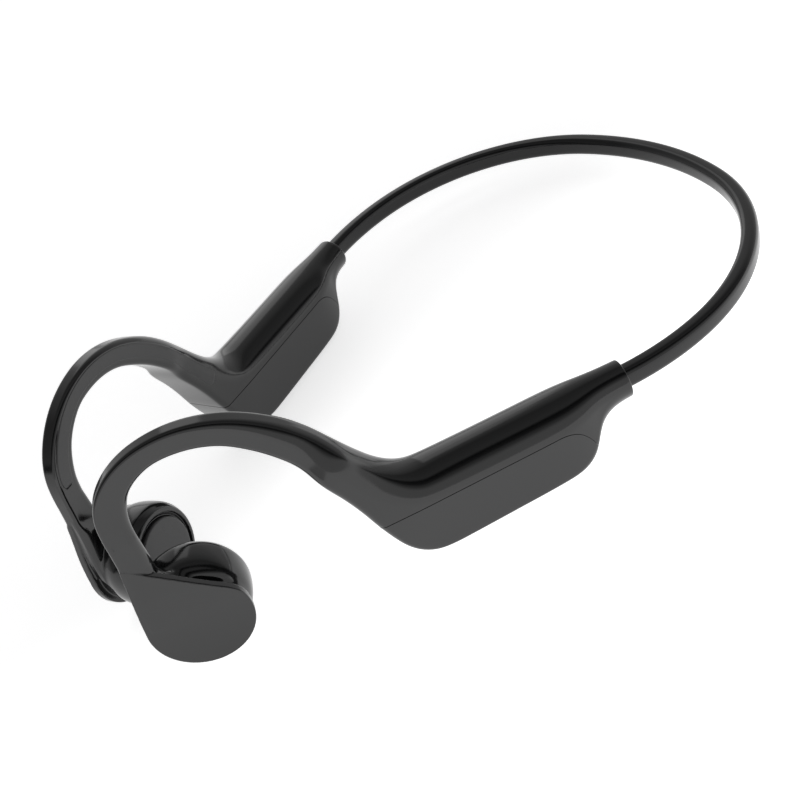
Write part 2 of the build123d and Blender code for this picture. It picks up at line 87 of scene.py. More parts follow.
def smooth(keys, values, at):
    """Cubic through uneven keys, with three-point slopes."""
    keys, values = np.asarray(keys, float), np.asarray(values, float)
    flat = values.ndim == 1
    if flat:
        values = values[:, None]
    step = np.diff(keys)[:, None]
    rate = np.diff(values, axis=0) / step
    slope = np.vstack((rate[:1], (rate[:-1] * step[1:] + rate[1:] * step[:-1])
                       / (step[1:] + step[:-1]), rate[-1:]))
    i = np.clip(np.searchsorted(keys, at, side="right") - 1, 0, len(keys) - 2)
    h = step[i]
    t = ((np.asarray(at) - keys[i])[:, None]) / h
    a, b = values[i], values[i + 1]
    out = (a * (2 * t**3 - 3 * t**2 + 1) + slope[i] * h * (t**3 - 2 * t**2 + t)
           + b * (-2 * t**3 + 3 * t**2) + slope[i + 1] * h * (t**3 - t**2))
    return out[:, 0] if flat else out


# ---- mesh helpers ---------------------------------------------------------------------------


def new_object(name, points, faces, material, normals=None):
    mesh = bpy.data.meshes.new(name)
    mesh.from_pydata([tuple(p) for p in points], [], [tuple(int(i) for i in f) for f in faces])
    mesh.validate()
    mesh.update()
    mesh.shade_smooth()
    obj = bpy.data.objects.new(name, mesh)
    bpy.context.scene.collection.objects.link(obj)
    mesh.materials.append(material)
    if normals is not None:
        mesh.normals_split_custom_set_from_vertices([tuple(n) for n in normals])
    return obj


def outward(obj):
    bm = bmesh.new()
    bm.from_mesh(obj.data)
    bmesh.ops.recalc_face_normals(bm, faces=bm.faces)
    bm.to_mesh(obj.data)
    bm.free()


def tube_faces(rings, around, closed=True):
    faces = []
    for r in range(rings - 1):
        for k in range(around if closed else around - 1):
            n = (k + 1) % around
            faces.append((r * around + k, r * around + n,
                          (r + 1) * around + n, (r + 1) * around + k))
    return faces


# ---- materials ------------------------------------------------------------------------------


def material(name, colour, rough, metal=0.0, grain=0.0, grain_size=0.25, mottle=0.0, streak=0.0,
             specular=0.5, coat=0.0, transmission=0.0):
    """Moulded or machined surface: fine grain in the bump, cloudy changes of gloss and tone."""
    m = bpy.data.materials.new(name)
    m.use_nodes = True
    nodes, links = m.node_tree.nodes, m.node_tree.links
    nodes.clear()
    out = nodes.new("ShaderNodeOutputMaterial")
    bsdf = nodes.new("ShaderNodeBsdfPrincipled")
    links.new(bsdf.outputs[0], out.inputs[0])
    bsdf.inputs["Metallic"].default_value = metal
    bsdf.inputs["Specular IOR Level"].default_value = specular
    bsdf.inputs["Coat Weight"].default_value = coat
    bsdf.inputs["Coat Roughness"].default_value = 0.12
    bsdf.inputs["Transmission Weight"].default_value = transmission
    place = nodes.new("ShaderNodeTexCoord")
    cloud = nodes.new("ShaderNodeTexNoise")
    cloud.inputs["Scale"].default_value = 90.0
    cloud.inputs["Detail"].default_value = 3.0
    links.new(place.outputs["Object"], cloud.inputs["Vector"])
    tone = nodes.new("ShaderNodeValToRGB")
    low, high = tone.color_ramp.elements
    low.position, high.position = 0.3, 0.7
    low.color = tuple(c * (1 - mottle) for c in colour) + (1,)
    high.color = tuple(min(1, c * (1 + mottle)) for c in colour) + (1,)
    links.new(cloud.outputs["Fac"], tone.inputs[0])
    links.new(tone.outputs[0], bsdf.inputs["Base Color"])
    gloss = nodes.new("ShaderNodeMapRange")
    gloss.inputs["To Min"].default_value = rough * 0.93
    gloss.inputs["To Max"].default_value = min(1.0, rough * 1.08)
    links.new(cloud.outputs["Fac"], gloss.inputs["Value"])
    links.new(gloss.outputs[0], bsdf.inputs["Roughness"])
    if grain > 0 or streak > 0:
        fine = nodes.new("ShaderNodeTexNoise")
        fine.inputs["Scale"].default_value = 1.0 / (grain_size * MM)
        fine.inputs["Detail"].default_value = 2.0
        if streak > 0:
            stretch = nodes.new("ShaderNodeMapping")
            stretch.inputs["Scale"].default_value = (1.0, streak, 1.0)
            links.new(place.outputs["Object"], stretch.inputs["Vector"])
            links.new(stretch.outputs[0], fine.inputs["Vector"])
        else:
            links.new(place.outputs["Object"], fine.inputs["Vector"])
        bump = nodes.new("ShaderNodeBump")
        bump.inputs["Strength"].default_value = grain
        bump.inputs["Distance"].default_value = 0.02 * MM
        links.new(fine.outputs["Fac"], bump.inputs["Height"])
        links.new(bump.outputs[0], bsdf.inputs["Normal"])
    return m


SHELL = material("satin_shell", (0.004, 0.0041, 0.0043), 0.13, grain=0.12, grain_size=0.22, mottle=0.05)
COVER = material("satin_cover", (0.006, 0.0061, 0.0064), 0.2, grain=0.2, grain_size=0.22, mottle=0.05)
SKIN = material("band_silicone", (0.004, 0.0041, 0.0044), 0.16, grain=0.25, grain_size=0.35,
                mottle=0.08, specular=0.36)
INLAY = material("inlay_silicone", (0.010, 0.010, 0.0105), 0.3, grain=0.5, grain_size=0.3, mottle=0.08)
PAD = material("pad_silicone", (0.016, 0.0162, 0.017), 0.4, grain=0.6, grain_size=0.3, mottle=0.08)
RUBBER = material("soft_rubber", (0.009, 0.009, 0.0095), 0.34, grain=0.4, grain_size=0.3, mottle=0.08)
BUTTON = material("button_satin", (0.012, 0.0121, 0.0127), 0.33, grain=0.4, grain_size=0.2, mottle=0.05)
STEEL = material("stamped_steel", (0.56, 0.56, 0.58), 0.3, metal=1.0, grain=0.5, streak=0.05, mottle=0.06)
MAGNET = material("nickel_magnet", (0.68, 0.67, 0.65), 0.16, metal=1.0, grain=0.15, mottle=0.04)
COPPER = material("enamelled_copper", (0.72, 0.33, 0.16), 0.32, metal=1.0, grain=0.8, streak=0.08)
ALLOY = material("memory_alloy", (0.5, 0.5, 0.52), 0.26, metal=1.0, grain=0.4, streak=0.05)
JACKET = material("wire_jacket", (0.03, 0.03, 0.03), 0.45, grain=0.4, mottle=0.08)
FLEX = material("polyimide_flex", (0.5, 0.24, 0.05), 0.3, grain=0.2, mottle=0.12, coat=0.4)
POUCH = material("battery_pouch", (0.66, 0.67, 0.69), 0.34, metal=1.0, grain=0.6, grain_size=0.6)
BOARD = material("solder_mask", (0.012, 0.09, 0.04), 0.32, grain=0.3, mottle=0.15, coat=0.3)
CHIP = material("moulded_chip", (0.02, 0.02, 0.021), 0.5, grain=0.8, grain_size=0.15, mottle=0.1)
GOLD = material("gold_contact", (0.83, 0.58, 0.24), 0.22, metal=1.0, grain=0.2, mottle=0.04)
PIPE = material("light_pipe", (0.8, 0.83, 0.86), 0.35, transmission=0.6, grain=0.3, mottle=0.03)
NODE_LOOKS = {
    "frame": SHELL, "pod_cover": COVER, "transducer_housing": SHELL, "hook_inlay": INLAY,
    "hook_flex": FLEX, "suspension_ring": RUBBER, "contact_pad": PAD, "driver_spring": STEEL,
    "driver_yoke": STEEL, "driver_magnet": MAGNET, "voice_coil": COPPER, "seam_gasket": RUBBER,
    "wire_anchor": STEEL, "battery": POUCH, "battery_board": BOARD, "main_board": BOARD,
    "bluetooth_chips": CHIP, "microphones": STEEL, "tact_switches": CHIP, "board_screws": STEEL,
    "board_posts": SHELL, "charge_port": SHELL, "charge_pins": GOLD, "led_light_pipe": PIPE,
    "neckband_skin": SKIN, "memory_wire": ALLOY, "neckband_cable": JACKET,
    "volume_down_button": BUTTON, "multifunction_button": BUTTON, "volume_up_button": BUTTON,
}
for node_name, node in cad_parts.items():
    look = NODE_LOOKS[node_name.replace("left_", "").replace("right_", "")]
    if not node.material_slots:
        node.data.materials.append(look)
    for place in node.material_slots:
        place.material = look

# ---- ring section of the hook and the pod ------------------------------------------------------
FLAT, LOW, SIDE, HIGH, TOP = 5, 9, 16, 20, 5


def half_profile(long, half, across, rise, corner):
    """Half of a section from the middle of its foot (0, 0) to the middle of its head (0, long)."""
    a, s = [], []
    for t in np.linspace(0, 1, FLAT, endpoint=False):
        a.append(t * (half - corner))
        s.append(0.0)
    for t in np.linspace(0, pi / 2, LOW, endpoint=False):
        a.append(half - corner + corner * sin(t))
        s.append(corner - corner * cos(t))
    for t in np.linspace(0, 1, SIDE, endpoint=False):
        a.append(half)
        s.append(corner + t * (long - rise - corner))
    for t in np.linspace(0, pi / 2, HIGH, endpoint=False):
        a.append(half - across + across * cos(t))
        s.append(long - rise + rise * sin(t))
    for t in np.linspace(1, 0, TOP):
        a.append(t * (half - across))
        s.append(long)
    return np.array(a), np.array(s)


def full_profile(*sizes):
    a, s = half_profile(*sizes)
    return np.concatenate((a, -a[-2:0:-1])), np.concatenate((s, s[-2:0:-1]))


# Hook stations in the disc's plane: outer point, inner point, depth of the middle, thickness,
# then the across and along sizes of the rounding on the arch's outside, and on its inside.
HOOK = (
    (-8.35, 20.5, -2.75, 20.5, 3.72, 3.3, 0.7, 0.7, 1.6),
    (-8.3, 23.6, -2.65, 23.2, 4.05, 3.3, 0.7, 0.7, 1.6),
    (-7.85, 26.9, -2.1, 25.6, 4.35, 3.3, 0.7, 0.7, 1.55),
    (-6.4, 30.2, -1.1, 27.9, 4.55, 3.3, 0.75, 0.75, 1.4),
    (-3.7, 33.3, 0.2, 29.9, 4.65, 3.3, 0.8, 0.8, 1.05),
    (0.0, 35.9, 2.7, 31.85, 4.7, 3.35, 0.85, 0.85, 1.0),
    (3.9, 37.5, 5.6, 33.15, 4.7, 3.4, 0.9, 0.9, 1.0),
    (9.0, 38.4, 9.2, 33.65, 4.7, 3.6, 1.0, 0.95, 1.0),
    (14.5, 38.1, 13.7, 33.3, 4.7, 3.95, 1.15, 1.05, 1.0),
    (19.8, 36.6, 18.0, 31.9, 4.7, 4.5, 1.45, 1.3, 1.0),
    (24.5, 34.1, 21.9, 29.25, 4.7, 5.3, 1.95, 1.7, 1.1),
    (28.6, 31.0, 25.1, 26.4, 4.7, 6.4, 2.65, 2.3, 1.2),
    (32.2, 27.2, 28.1, 22.7, 4.7, 7.7, 3.5, 3.0, 1.3),
)
# Pod stations in the pod's plane: head point, foot point, half thickness, the two rounding
# sizes of the ridge, and the lower corner.
POD_ROWS = (
    (-0.4, 16.7, -5.7, 12.6, 4.5, 4.1, 3.6, 1.35),
    (2.3, 12.6, -3.3, 8.0, 5.1, 4.8, 4.2, 1.35),
    (5.2, 8.9, -1.45, 3.6, 5.55, 5.3, 4.8, 1.3),
    (7.8, 6.7, -0.2, 0.1, 5.85, 5.75, 5.2, 1.2),
    (9.8, 5.75, 1.2, -3.2, 6.0, 6.0, 5.4, 1.1),
    (11.4, 5.42, 3.0, -6.7, 6.1, 6.1, 5.5, 1.0),
    (12.9, 5.38, 5.2, -9.1, 6.1, 6.1, 5.55, 0.95),
    (14.4, 5.37, 7.8, -10.5, 6.1, 6.1, 5.55, 0.9),
    (16.2, 5.35, 10.8, -10.88, 6.1, 6.1, 5.55, 0.9),
    (18.6, 5.33, 14.8, -10.85, 6.1, 6.1, 5.55, 0.9),
    (21.5, 5.3, 19.8, -10.7, 6.1, 6.1, 5.55, 0.9),
    (25.4, 5.26, 25.0, -10.52, 6.1, 6.1, 5.55, 0.9),
    (30.0, 5.22, 30.0, -10.36, 6.1, 6.1, 5.55, 0.9),
    (34.0, 5.2, 34.0, -10.22, 6.07, 6.07, 5.5, 1.0),
    (36.6, 5.18, 36.6, -10.15, 5.98, 5.98, 5.4, 1.2),
    (38.6, 5.15, 38.7, -9.9, 5.8, 5.8, 5.2, 1.6),
    (40.2, 5.12, 40.5, -9.25, 5.5, 5.5, 5.0, 2.1),
    (41.5, 5.1, 41.9, -8.1, 5.2, 5.2, 4.8, 2.5),
    (42.5, 5.07, 42.8, -6.5, 4.9, 4.9, 4.55, 2.8),
    (43.4, 5.03, 43.7, -5.0, 4.6, 4.6, 4.3, 3.1),
    (44.7, 4.98, 45.0, -3.75, 4.25, 4.25, 4.0, 3.3),
    (46.5, 4.9, 46.7, -3.0, 3.95, 3.95, 3.8, 3.5),
    (48.8, 4.82, 48.8, -2.6, 3.75, 3.75, 3.65, 3.6),
    (51.2, 4.78, 51.2, -2.5, 3.68, 3.68, 3.62, 3.6),
)
SLEEVE_END = 51.5
SLEEVE_LEVEL = 1.15
# Rear edge of the sleeve: station and share of its size; then the band's socket, station and growth.
SLEEVE_LIP = ((51.33, 0.987), (51.44, 0.965), (51.49, 0.935), (51.5, 0.9), (51.5, 0.7))
SOCKET_MOUTH = ((51.5, 1.12), (51.42, 1.03), (51.2, 1.0), (50.0, 1.0))
SOCKET_HALF = (1.8, 2.2)


def skin_stations():
    heads, feet, outs, sizes = [], [], [], []
    for hu, hv, fu, fv, depth, thick, across, rise, corner in HOOK:
        heads.append(DISC.level((hu, hv, -depth)))
        feet.append(DISC.level((fu, fv, -depth)))
        outs.append(DISC.m[2])
        sizes.append((thick / 2, across, rise, corner))
    for hu, hv, fu, fv, half, across, rise, corner in POD_ROWS:
        heads.append(POD.level((hu, hv, 0)))
        feet.append(POD.level((fu, fv, 0)))
        outs.append(POD.m[2])
        sizes.append((half, across, rise, corner))
    heads, feet, outs, sizes = map(np.array, (heads, feet, outs, sizes))
    first = len(HOOK)
    for k, share in ((first - 2, 0.05), (first - 1, 0.18), (first, 0.4), (first + 1, 0.65),
                     (first + 2, 0.85), (first + 3, 0.96)):
        outs[k] = DISC.m[2] * (1 - share) + POD.m[2] * share
    middles = (heads + feet) / 2
    run = np.concatenate(((0,), np.cumsum(np.linalg.norm(np.diff(middles, axis=0), axis=1))))
    return run, heads, feet, outs, sizes


def skin_sections(pitch=0.55):
    """Evenly spaced sections: run, head, foot, outward direction, and the profile's sizes."""
    run, heads, feet, outs, sizes = skin_stations()
    at = np.linspace(0, run[-1], int(run[-1] / pitch))
    heads, feet = smooth(run, heads, at), smooth(run, feet, at)
    outs, sizes = smooth(run, outs, at), smooth(run, sizes, at)
    for _ in range(6):
        for values in (heads, feet, outs, sizes):
            values[1:-1] = values[1:-1] * 0.5 + (values[:-2] + values[2:]) * 0.25
    outs /= np.linalg.norm(outs, axis=1)[:, None]
    sections = []
    for place, head, foot, out, (half, across, rise, corner) in zip(at, heads, feet, outs, sizes):
        long = np.linalg.norm(head - foot)
        across, rise = min(across, half), min(rise, long * 0.8)
        corner = min(corner, half, long - rise - 0.02)
        sections.append((place, head, foot, out, (long, half, across, rise, corner)))
    return sections


def skin_rings():
    rings = []
    for _, head, foot, out, shape in skin_sections():
        a, s = full_profile(*shape)
        rings.append(foot + np.outer(s / shape[0], head - foot) + np.outer(a, out))
    return np.array(rings)


INLAY_FIRST, INLAY_LAST = 3.2, 62.6     # run along the hook
INLAY_PROUD, INLAY_ROUND, INLAY_TIP = 0.09, 0.28, 2.2


def build_inlay(side, name, look):
    """Soft strip along the head side of the hook, with round tips."""
    rings = []
    for place, head, foot, out, shape in skin_sections():
        if not INLAY_FIRST <= place <= INLAY_LAST:
            continue
        long, half, across, rise, corner = shape
        a, s = half_profile(*shape)
        low, high = corner + 0.25, long - 0.45 * rise - 0.3
        near_tip = min(place - INLAY_FIRST, INLAY_LAST - place) + 0.15
        taper = sqrt(1 - (1 - min(near_tip / INLAY_TIP, 1)) ** 2)
        middle, reach = (low + high) / 2, (high - low) / 2 * taper
        ring = []
        for t in np.linspace(-1, 1, 21):
            edge = min((1 - abs(t)) * reach / INLAY_ROUND, 1)
            lift = INLAY_PROUD * (sqrt(1 - (1 - edge) ** 2) if edge > 0 else -2)
            ring.append((np.interp(middle + t * reach, s[FLAT:], a[FLAT:]) + lift, middle + t * reach))
        for t in (1, 0, -1):
            ring.append((np.interp(middle + t * reach, s[FLAT:], a[FLAT:]) - 0.5, middle + t * reach))
        ring = np.array(ring)
        rings.append(foot + np.outer(ring[:, 1] / long, head - foot) - np.outer(ring[:, 0], out))
    count, around = len(rings), len(rings[0])
    faces = tube_faces(count, around)
    faces += [tuple(range(around)), tuple(range((count - 1) * around, count * around))]
    obj = new_object(name, row_frame(np.array(rings).reshape(-1, 3), side), faces, look)
    outward(obj)
    return obj


# Openings in the underside of the right pod: station, length along the pod and width.
OPENINGS = ((11.8, 4.84, 3.04), (17.6, 4.84, 3.04), (23.4, 4.84, 3.04), (27.3, 1.3, 1.3), (31.8, 6.5, 3.3))
UNDERSIDE = -8.6


def open_underside(bm, wall=1.1):
    """Cut the openings out of the floor of the pod and turn their rims inwards."""
    for station, length, width in OPENINGS:
        for axis, middle, reach in ((0, station, length / 2), (2, 0.0, width / 2)):
            for sign in (-1, 1):
                at, normal = [0, 0, 0], [0, 0, 0]
                at[axis], normal[axis] = middle + sign * reach, sign
                near = [f for f in bm.faces if f.calc_center_median().y < UNDERSIDE
                        and abs(f.calc_center_median().x - station) < length / 2 + 1.5]
                geometry = near + list({e for f in near for e in f.edges})
                geometry += list({v for f in near for v in f.verts})
                bmesh.ops.bisect_plane(bm, geom=geometry, dist=1e-5, plane_co=at, plane_no=normal)
        inside = [f for f in bm.faces if f.calc_center_median().y < UNDERSIDE
                  and abs(f.calc_center_median().x - station) < length / 2
                  and abs(f.calc_center_median().z) < width / 2]
        rim = [e for e in {e for f in inside for e in f.edges}
               if sum(f in inside for f in e.link_faces) == 1]
        bmesh.ops.delete(bm, geom=inside, context="FACES")
        rim = [e for e in rim if e.is_valid]
        fresh = bmesh.ops.extrude_edge_only(bm, edges=rim)["geom"]
        for v in fresh:
            if isinstance(v, bmesh.types.BMVert):
                v.co.y += wall
        for e in rim:
            e.smooth = False
    bmesh.ops.recalc_face_normals(bm, faces=bm.faces)
    return bm


def build_skin():
    """Hook, pod, sleeve and the band's socket as one run of rings, in the pod's plane."""
    rings = list(skin_rings())
    tail = POD.local(rings[-1])
    middle = tail.mean(0)
    middle[:2] = (SLEEVE_END, SLEEVE_LEVEL)
    for u, scale in SLEEVE_LIP:
        ring = middle + (tail - middle) * scale
        ring[:, 0] = u
        rings.append(POD.level(ring))
    hole = POD.local(rings[-1]) - middle
    angle = np.arctan2(hole[:, 1], hole[:, 2])
    reach = 1.0 / ((np.abs(np.cos(angle)) / SOCKET_HALF[0]) ** 5
                   + (np.abs(np.sin(angle)) / SOCKET_HALF[1]) ** 5) ** 0.2
    for u, grow in SOCKET_MOUTH:
        ring = np.stack((np.full(len(angle), u), middle[1] + np.sin(angle) * reach * grow,
                         middle[2] + np.cos(angle) * reach * grow), 1)
        rings.append(POD.level(ring))
    rings = np.array(rings)
    count, around = rings.shape[:2]
    return POD.local(rings.reshape(-1, 3)), tube_faces(count, around)


SEAM_FIRST, SEAM_STRAIGHT = -6.0, 35.0   # the line is level between these stations
BELOW_HOOK = -60.0                       # the hook lies wholly above the line


def seam_height(u):
    """Height of the moulding line along the pod; it dips round the tail."""
    if u < SEAM_FIRST:
        return BELOW_HOOK
    t = max(u - SEAM_STRAIGHT, 0.0)
    return -0.055 * t**2 - 0.0016 * t**4


SHARP = 0.9                         # edges that turn by more than this, in radians, stay crisp
LIP_FRONT, LIP_REAR = 8.0, 36.0     # the lip points at the middle line between these stations


def parted(points, faces, keep_above, gap=0.055, lip=0.9):
    """One side of the moulding line, with a lip turned inwards along the cut."""
    bm = bmesh.new()
    verts = [bm.verts.new((p[0], p[1] - seam_height(p[0]), p[2])) for p in points]
    for f in faces:
        bm.faces.new([verts[i] for i in f])
    sign = 1 if keep_above else -1
    bmesh.ops.bisect_plane(bm, geom=bm.verts[:] + bm.edges[:] + bm.faces[:], dist=1e-5,
                           plane_co=(0, sign * gap, 0), plane_no=(0, sign, 0),
                           clear_inner=True)
    rim = [e for e in bm.edges if e.is_boundary
           and all(abs(v.co.y - sign * gap) < 1e-3 for v in e.verts)]
    ends = {v for e in rim for v in e.verts}
    out = bmesh.ops.extrude_edge_only(bm, edges=rim)
    fresh = [g for g in out["geom"] if isinstance(g, bmesh.types.BMVert)]
    for v in fresh:
        centre = min(max(v.co.x, LIP_FRONT), LIP_REAR)
        v.co += Vector((centre - v.co.x, 0, -v.co.z)).normalized() * lip
    for v in ends:
        v.co.y += sign * 0.02
    for v in bm.verts:
        v.co.y += seam_height(v.co.x)
    bmesh.ops.recalc_face_normals(bm, faces=bm.faces)
    for e in bm.edges:
        if e.calc_face_angle(0) > SHARP:
            e.smooth = False
    return bm


def place_bmesh(bm, name, side, look):
    points = np.array([v.co for v in bm.verts])
    for v, p in zip(bm.verts, row_frame(POD.level(points), side)):
        v.co = p
    if side < 0:
        bmesh.ops.reverse_faces(bm, faces=bm.faces)
    for f in bm.faces:
        f.smooth = True
    mesh = bpy.data.meshes.new(name)
    bm.to_mesh(mesh)
    bm.free()
    mesh.materials.append(look)
    obj = bpy.data.objects.new(name, mesh)
    bpy.context.scene.collection.objects.link(obj)
    return obj


# ---- transducer end as a level set -----------------------------------------------------------
BEND_KEYS = (-12.0, 0.0, 5.0, 8.0, 11.0, 15.0, 20.5, 26.0)
BEND = (0.0, 0.0, 0.05, 0.35, 0.85, 1.45, 2.07, 2.67)
SPINE_KEYS = (0.0, 6.0, 10.0, 13.0, 16.0, 20.5, 26.0)
SPINE = (-6.6, -6.2, -5.85, -5.65, -5.57, -5.55, -5.5)
SPINE_HALF = (2.6, 2.7, 2.8, 2.82, 2.82, 2.8, 2.83)
DISC_RADIUS, NECK_RADIUS, NECK = 10.0, 2.7, (-5.6, 16.6)
CREASE = (0.57, 0.82, 8.6)              # direction and distance of the disc's straight upper edge
BARREL_RADIUS, REAR_RADIUS, BORE_RADIUS, REAR_DEPTH = 10.4, 9.3, 8.35, 11.8


def soft_min(a, b, k):
    h = np.clip(0.5 + 0.5 * (b - a) / k, 0, 1)
    return b * (1 - h) + a * h - k * h * (1 - h)


def soft_max(a, b, k):
    return -soft_min(-a, -b, k)


def teardrop(x, y, big, small, neck):
    """Distance to the hull of a circle at the middle and a small one at the neck."""
    long = sqrt(neck[0]**2 + neck[1]**2)
    ax, ay = neck[0] / long, neck[1] / long
    across, up = np.abs(x * ay - y * ax), x * ax + y * ay
    b = (big - small) / long
    a = sqrt(1 - b * b)
    k = -b * across + a * up
    flank = across * a + up * b - big
    return np.where(k < 0, np.hypot(across, up) - big,
                    np.where(k > a * long, np.hypot(across, up - long) - small, flank))


def slab(outline, depth, first, last, edge):
    """Outline drawn out from first to last, with rounded edges."""
    side = np.abs(depth - (first + last) / 2) - (last - first) / 2
    q, r = outline + edge, side + edge
    return np.minimum(np.maximum(q, r), 0) + np.hypot(np.maximum(q, 0), np.maximum(r, 0)) - edge


def transducer(p):
    h, v, d = p[:, 0], p[:, 1], -p[:, 2]
    bent = d - smooth(BEND_KEYS, BEND, np.clip(v, -12, 25.9))
    face = soft_max(teardrop(h, v, DISC_RADIUS, NECK_RADIUS, NECK),
                    CREASE[0] * h + CREASE[1] * v - CREASE[2], 1.2)
    plate = slab(face, bent, 0.0, 1.5, 0.22)
    tier = slab(face + 1.3, bent, 0.6, 4.0, 0.6)
    r = np.hypot(h, v)
    barrel = slab(r - BARREL_RADIUS, d, 2.9, REAR_DEPTH, 2.4)
    rear = slab(r - REAR_RADIUS, d, 8.0, REAR_DEPTH, 0.5)
    bulge = r - BARREL_RADIUS + 0.055 * (d - 8.4)**2
    barrel = soft_min(soft_max(barrel, bulge, 0.8), rear, 0.5)
    barrel = np.maximum(barrel, -slab(r - BORE_RADIUS, d, 10.3, 14.0, 0.1))
    spine = smooth(SPINE_KEYS, SPINE, np.clip(v, 0, 25.9))
    half = smooth(SPINE_KEYS, SPINE_HALF, np.clip(v, 0, 25.9))
    q = h - spine
    radius = np.where(q > 0, 1.6, 0.75)
    fade = smooth((0, 1), (0, 1), np.clip((20.5 - v) / 6, 0, 1))
    lean = 0.8 * np.clip((q + 1.2) / 4.0, 0, 1)**1.5 * fade
    qx, qy = np.abs(q) - half + radius, np.abs(bent - lean - 1.65) - 1.65 + radius
    strip = (np.minimum(np.maximum(qx, qy), 0)
             + np.hypot(np.maximum(qx, 0), np.maximum(qy, 0)) - radius)
    strip = np.maximum(strip, 2.0 - v)
    body = soft_min(tier, barrel, 0.9)
    body = soft_min(body, strip, 2.2 * np.clip((d - 1.6) / 2.0, 0.02, 1.0))
    body = soft_min(body, plate, 0.3)
    return np.maximum(body, v - 21.2)


def cut(a, offset):
    """The part of a grid that one corner of every cell sees."""
    return a[tuple(slice(o, n - 1 + o) for o, n in zip(offset, a.shape))]


def level_set(field, low, high, pitch):
    """Surface nets over a box, pulled on to the field's zero, with its exact normals."""
    axes = [np.arange(a, b + pitch, pitch) for a, b in zip(low, high)]
    shape = tuple(len(a) for a in axes)
    grid = np.stack(np.meshgrid(*axes, indexing="ij"), -1).reshape(-1, 3)
    value = field(grid).reshape(shape)
    inside = value < 0
    cells = np.zeros(tuple(n - 1 for n in shape), int)
    corner = [(i, j, k) for i in (0, 1) for j in (0, 1) for k in (0, 1)]
    for o in corner:
        cells += cut(inside, o)
    active = (cells > 0) & (cells < 8)
    index = -np.ones(cells.shape, int)
    index[active] = np.arange(active.sum())
    total, number = np.zeros(cells.shape + (3,)), np.zeros(cells.shape)
    for i, o in enumerate(corner):
        for o2 in corner[i + 1:]:
            if sum(abs(a - b) for a, b in zip(o, o2)) != 1:
                continue
            va, vb = cut(value, o), cut(value, o2)
            cross = (va < 0) != (vb < 0)
            t = np.where(cross, va / np.where(cross, va - vb, 1), 0)
            for n in range(3):
                total[..., n] += np.where(cross, o[n] + t * (o2[n] - o[n]), 0)
            number += cross
    where = np.argwhere(active)
    points = np.array(low) + pitch * (where + total[active] / number[active][:, None])
    faces = []
    for n in range(3):
        m, l = (n + 1) % 3, (n + 2) % 3
        step = [0, 0, 0]
        step[n] = 1
        a = inside[:shape[0] - step[0], :shape[1] - step[1], :shape[2] - step[2]]
        b = inside[step[0]:, step[1]:, step[2]:]
        hit = np.argwhere(a != b)
        hit = hit[(hit[:, m] > 0) & (hit[:, m] < shape[m] - 1)
                  & (hit[:, l] > 0) & (hit[:, l] < shape[l] - 1)]
        em, el = np.zeros(3, int), np.zeros(3, int)
        em[m], el[l] = 1, 1
        quad = np.stack([index[tuple((hit - q).T)] for q in (em + el, el, 0 * em, em)], 1)
        flip = ~a[tuple(hit.T)]
        quad[flip] = quad[flip][:, ::-1]
        faces.append(quad)

    def slope(p, e=0.01):
        g = np.empty_like(p)
        for n in range(3):
            s = np.zeros(3)
            s[n] = e
            g[:, n] = (field(p + s) - field(p - s)) / (2 * e)
        return g

    for _ in range(3):
        g = slope(points)
        move = -field(points)[:, None] * g / np.maximum((g * g).sum(1), 0.2)[:, None]
        points = points + np.clip(move, -pitch, pitch) * 0.9
    g = slope(points, 0.04)
    return points, np.vstack(faces), g / np.maximum(np.linalg.norm(g, axis=1), 1e-6)[:, None]


# ---- turned pieces on the transducer's axis -----------------------------------------------------


def turned(name, profile, side, look, segments=144, closed=False):
    """Profile of (radius, depth) swept round the transducer's axis."""
    ring = np.array(profile, float)
    angle = np.linspace(0, 2 * pi, segments, endpoint=False)
    points = np.array([(r * cos(t), r * sin(t), -d) for t in angle for r, d in ring])
    n = len(ring)
    faces = []
    for k in range(segments):
        k2 = (k + 1) % segments
        for i in range(n if closed else n - 1):
            i2 = (i + 1) % n
            faces.append((k * n + i, k * n + i2, k2 * n + i2, k2 * n + i))
    obj = new_object(name, row_frame(DISC.level(points), side), faces, look)
    bm = bmesh.new()
    bm.from_mesh(obj.data)
    bmesh.ops.remove_doubles(bm, verts=bm.verts, dist=1e-6)
    bmesh.ops.recalc_face_normals(bm, faces=bm.faces)
    bm.to_mesh(obj.data)
    bm.free()
    obj.data.shade_smooth()
    return obj


def arc(cr, cd, radius, start, end, count=7):
    return [(cr + radius * cos(radians(t)), cd + radius * sin(radians(t)))
            for t in np.linspace(start, end, count)]


PAD_PROFILE = ([(0.001, 12.3)] + [(r, 12.3 - 0.05 * (r / 7.0)**4) for r in np.linspace(0.6, 6.8, 12)]
               + arc(6.95, 11.8, 0.45, 80, 0) + [(7.4, 11.3), (7.4, 10.5)])
RING_PROFILE = ([(7.38, 10.6), (7.4, 11.15)] + arc(7.63, 11.2, 0.2, 180, 0, 9)
                + arc(7.93, 11.15, 0.1, 180, 360, 7)[1:] + arc(8.2, 11.2, 0.17, 180, 0, 9)
                + [(8.37, 10.9), (8.37, 10.6)])

